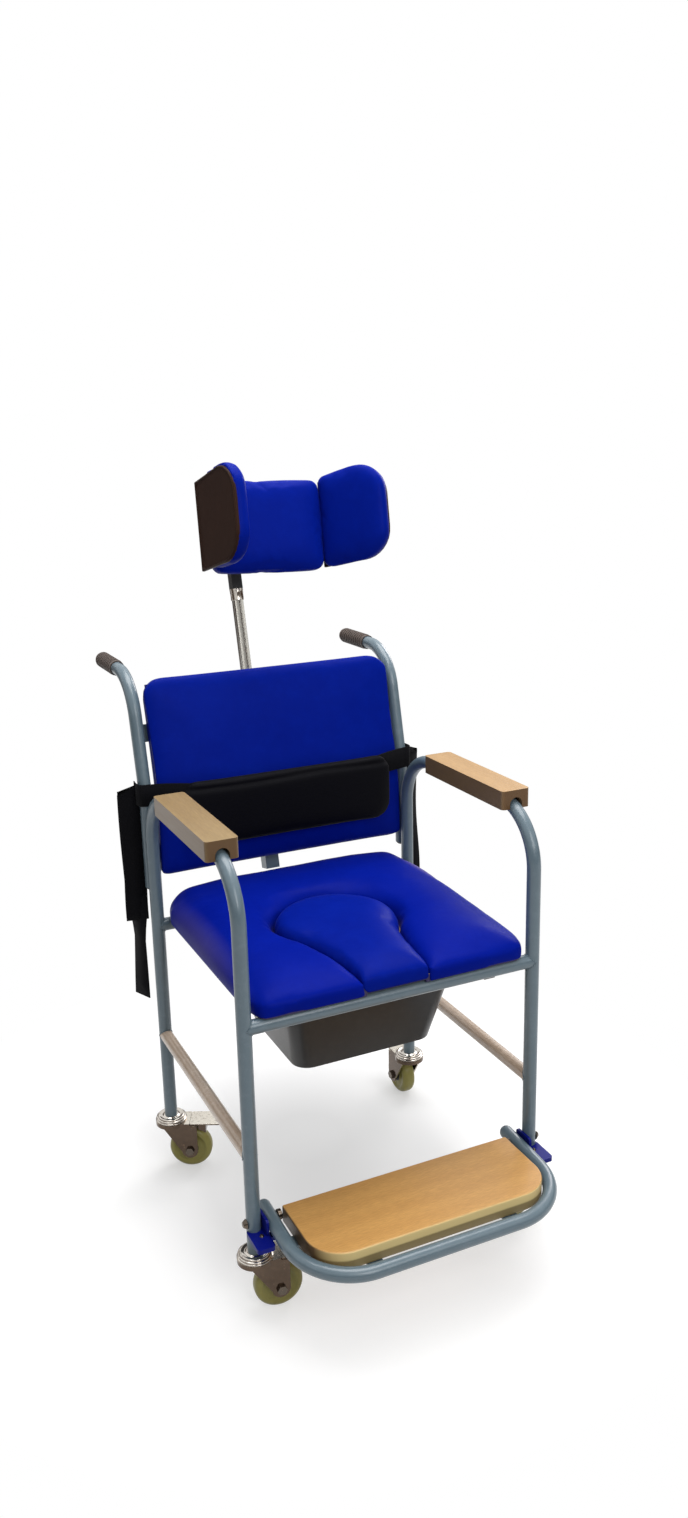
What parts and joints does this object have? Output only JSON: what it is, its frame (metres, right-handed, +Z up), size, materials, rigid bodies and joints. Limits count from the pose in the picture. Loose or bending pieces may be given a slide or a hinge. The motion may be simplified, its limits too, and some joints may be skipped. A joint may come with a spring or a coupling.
{
  "type": "positioning commode chair",
  "caption": "Wheeled commode chair with padded seat and lift-out infill, sliding pan, flip-up footrest, adjustable winged headrest, chest belt and braked casters.",
  "frame": {"origin": "on the floor, under the middle of the bounding box", "axes": "+Z up, the sitter faces -Y, +X is to the right when seen from the front"},
  "size_m": [0.5634, 0.8406, 1.2173],
  "materials": {
    "frame_paint": "satin powder coat",
    "chrome": "polished",
    "wheel_rubber": "matt",
    "black_plastic": "matt",
    "black_steel": "satin",
    "grip_rubber": "matt",
    "beech": "clear lacquer",
    "plywood": "raw",
    "blue_vinyl": "soft sheen vinyl",
    "brown_vinyl": "soft sheen vinyl",
    "pan_plastic": "satin",
    "blue_plastic": "satin",
    "belt_foam": "soft",
    "webbing": "woven"
  },
  "bodies": {
    "frame": {"caster_mounts": "chrome", "left_side_frame": "frame_paint", "right_side_frame": "frame_paint", "left_upright": "frame_paint", "right_upright": "frame_paint", "cross_rails": "frame_paint", "side_stretchers": "frame_paint", "back_straps": "frame_paint", "headrest_post": "frame_paint", "pan_runners": "black_steel", "tube_plugs": "black_plastic", "grips": "grip_rubber", "left_arm_pad": "beech", "right_arm_pad": "beech", "arm_screws": "chrome", "back_board": "plywood", "back_cushion": "blue_vinyl", "pivot_bolts": "chrome", "stop_brackets": "blue_plastic", "bracket_screws": "chrome", "belt_pad": "belt_foam", "left_strap": "webbing", "right_strap": "webbing"},
    "caster_fl": {"fork_fl": "chrome", "axle_fl": "chrome"},
    "wheel_fl": {"wheel_fl": "wheel_rubber"},
    "pedal_fl": {"pedal_fl": "chrome"},
    "caster_fr": {"fork_fr": "chrome", "axle_fr": "chrome"},
    "wheel_fr": {"wheel_fr": "wheel_rubber"},
    "pedal_fr": {"pedal_fr": "chrome"},
    "caster_rl": {"fork_rl": "chrome", "axle_rl": "chrome"},
    "wheel_rl": {"wheel_rl": "wheel_rubber"},
    "pedal_rl": {"pedal_rl": "chrome"},
    "caster_rr": {"fork_rr": "chrome", "axle_rr": "chrome"},
    "wheel_rr": {"wheel_rr": "wheel_rubber"},
    "pedal_rr": {"pedal_rr": "chrome"},
    "seat": {"seat_board": "plywood", "seat_cushion": "blue_vinyl"},
    "infill": {"infill_board": "plywood", "infill_cushion": "blue_vinyl"},
    "pan": {"pan": "pan_plastic"},
    "footrest": {"footrest_frame": "frame_paint", "footrest_board": "beech", "footrest_screws": "chrome"},
    "stem": {"headrest_stem": "chrome", "stem_collar": "chrome", "headrest_bracket": "black_plastic"},
    "knob": {"clamp_knob": "black_plastic"},
    "headrest": {"head_plate": "black_steel", "head_board": "brown_vinyl", "head_pad": "blue_vinyl"},
    "left_wing": {"left_wing_board": "brown_vinyl", "left_wing_hinge": "black_steel", "left_wing_pad": "blue_vinyl"},
    "right_wing": {"right_wing_board": "brown_vinyl", "right_wing_hinge": "black_steel", "right_wing_pad": "blue_vinyl"}
  },
  "joints": [
    {"name": "swivel_fl", "type": "hinge", "parent": "frame", "child": "caster_fl", "pos_m": [-0.24, -0.24472, 0.09], "axis": [0, 0, 1], "continuous": true},
    {"name": "spin_fl", "type": "hinge", "parent": "caster_fl", "child": "wheel_fl", "pos_m": [-0.20713, -0.2476, 0.0375], "axis": [0.0872, 0.9962, 0], "continuous": true},
    {"name": "brake_fl", "type": "hinge", "parent": "caster_fl", "child": "pedal_fl", "pos_m": [-0.20214, -0.24804, 0.0795], "axis": [0.0872, 0.9962, 0], "range_deg": [0, 7]},
    {"name": "swivel_fr", "type": "hinge", "parent": "frame", "child": "caster_fr", "pos_m": [0.24, -0.24472, 0.09], "axis": [0, 0, 1], "continuous": true},
    {"name": "spin_fr", "type": "hinge", "parent": "caster_fr", "child": "wheel_fr", "pos_m": [0.21142, -0.22822, 0.0375], "axis": [-0.5, -0.866, 0], "continuous": true},
    {"name": "brake_fr", "type": "hinge", "parent": "caster_fr", "child": "pedal_fr", "pos_m": [0.20709, -0.22572, 0.0795], "axis": [-0.5, -0.866, 0], "range_deg": [0, 7]},
    {"name": "swivel_rl", "type": "hinge", "parent": "frame", "child": "caster_rl", "pos_m": [-0.24, 0.16728, 0.09], "axis": [0, 0, 1], "continuous": true},
    {"name": "spin_rl", "type": "hinge", "parent": "caster_rl", "child": "wheel_rl", "pos_m": [-0.21034, 0.15281, 0.0375], "axis": [0.4384, 0.8988, 0], "continuous": true},
    {"name": "brake_rl", "type": "hinge", "parent": "caster_rl", "child": "pedal_rl", "pos_m": [-0.20585, 0.15062, 0.0795], "axis": [0.4384, 0.8988, 0], "range_deg": [0, 7]},
    {"name": "swivel_rr", "type": "hinge", "parent": "frame", "child": "caster_rr", "pos_m": [0.24, 0.16728, 0.09], "axis": [0, 0, 1], "continuous": true},
    {"name": "spin_rr", "type": "hinge", "parent": "caster_rr", "child": "wheel_rr", "pos_m": [0.24, 0.20028, 0.0375], "axis": [-1, 0, 0], "continuous": true},
    {"name": "brake_rr", "type": "hinge", "parent": "caster_rr", "child": "pedal_rr", "pos_m": [0.24, 0.20528, 0.0795], "axis": [-1, 0, 0], "range_deg": [0, 7]},
    {"name": "seat_slide", "type": "slide", "parent": "frame", "child": "seat", "axis": [0, -1, 0], "range_m": [0, 0.2]},
    {"name": "infill_lift", "type": "slide", "parent": "seat", "child": "infill", "axis": [0, 0, 1], "range_m": [0, 0.12]},
    {"name": "pan_slide", "type": "slide", "parent": "frame", "child": "pan", "axis": [0, 1, 0], "range_m": [0, 0.3]},
    {"name": "footrest_flip", "type": "hinge", "parent": "frame", "child": "footrest", "pos_m": [0, -0.24472, 0.1478], "axis": [-1, 0, 0], "range_deg": [0, 90]},
    {"name": "headrest_height", "type": "slide", "parent": "frame", "child": "stem", "axis": [0, 0.2284, 0.9736], "range_m": [-0.1, 0.1]},
    {"name": "clamp_turn", "type": "hinge", "parent": "frame", "child": "knob", "pos_m": [-0.012, 0.30933, 0.81707], "axis": [0, 0.9736, -0.2284], "continuous": true},
    {"name": "headrest_tilt", "type": "hinge", "parent": "stem", "child": "headrest", "pos_m": [-0.01199, 0.23963, 1.10663], "axis": [0.9995, -0.0072, -0.0324], "range_deg": [-20, 25]},
    {"name": "left_wing_turn", "type": "hinge", "parent": "headrest", "child": "left_wing", "pos_m": [-0.10394, 0.211, 1.1161], "axis": [-0.0332, -0.2163, -0.9758], "range_deg": [0, 50]},
    {"name": "right_wing_turn", "type": "hinge", "parent": "headrest", "child": "right_wing", "pos_m": [0.10394, 0.20951, 1.10937], "axis": [0.0332, 0.2163, 0.9758], "range_deg": [-15, 12]}
  ]
}
